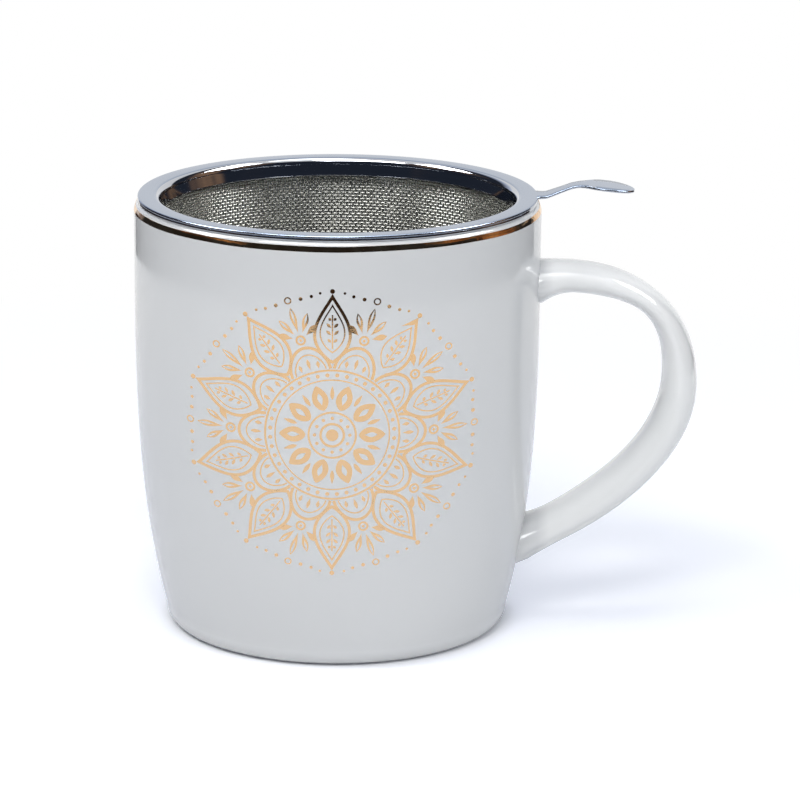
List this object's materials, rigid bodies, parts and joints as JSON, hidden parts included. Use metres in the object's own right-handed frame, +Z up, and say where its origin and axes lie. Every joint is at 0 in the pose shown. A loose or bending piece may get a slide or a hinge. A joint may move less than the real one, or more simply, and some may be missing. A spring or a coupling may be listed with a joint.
{
  "type": "infuser mug",
  "caption": "Straight-sided porcelain mug with a strap handle and a lift-out steel strainer basket that hangs on the lip by a flat rim with a thumb tab.",
  "frame": {"origin": "on the mug's axis, in the plane of the table that the foot ring stands on", "axes": "+Z up along the mug's axis, +X towards the handle and the thumb tab, -Y towards the printed front"},
  "size_m": [0.1187, 0.0852, 0.0945],
  "materials": {
    "porcelain": "white porcelain under a clear glossy glaze, with a gold lustre print on the front",
    "gold_lustre": "fired gold lustre, mirror bright",
    "rim_steel": "stainless sheet, polished, with a satin flat rim",
    "woven_steel": "plain woven stainless wire cloth"
  },
  "bodies": {
    "mug": {"mug_body": "porcelain", "mug_handle": "porcelain", "rim_line": "gold_lustre"},
    "infuser": {"rim_plate": "rim_steel", "backing_ring": "rim_steel", "basket_wall": "woven_steel", "basket_floor": "woven_steel", "base_band": "rim_steel"}
  },
  "joints": [
    {"name": "infuser_lift", "type": "slide", "parent": "mug", "child": "infuser", "axis": [0, 0, 1], "range_m": [0, 0.1]}
  ]
}
